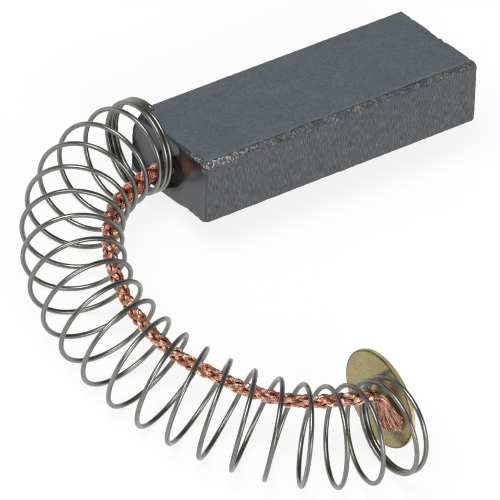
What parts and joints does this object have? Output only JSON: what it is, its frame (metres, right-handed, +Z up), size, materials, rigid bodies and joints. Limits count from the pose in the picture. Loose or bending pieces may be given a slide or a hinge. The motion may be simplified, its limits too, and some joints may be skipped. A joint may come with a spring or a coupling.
{
  "type": "carbon brush",
  "caption": "Rectangular carbon brush with a copper shunt tamped into its end, a bent compression spring round the shunt and a round contact disc.",
  "frame": {"origin": "middle of the carbon block's running face", "axes": "+X out of the running face, along the block's length; +Z up, the part lying as it rests, with the block leaning on one long edge; the spring bends from the block's other end towards -Y and comes back under the block's near side"},
  "size_m": [0.057, 0.0504, 0.0117],
  "materials": {
    "carbon": "satin",
    "tamping_powder": "matte",
    "copper_braid": "satin",
    "spring_steel": "satin",
    "disc_brass": "satin"
  },
  "bodies": {
    "root": {"carbon_block": "carbon", "tamping_plug": "tamping_powder", "shunt": "copper_braid", "spring": "spring_steel", "contact_disc": "disc_brass"}
  },
  "joints": []
}
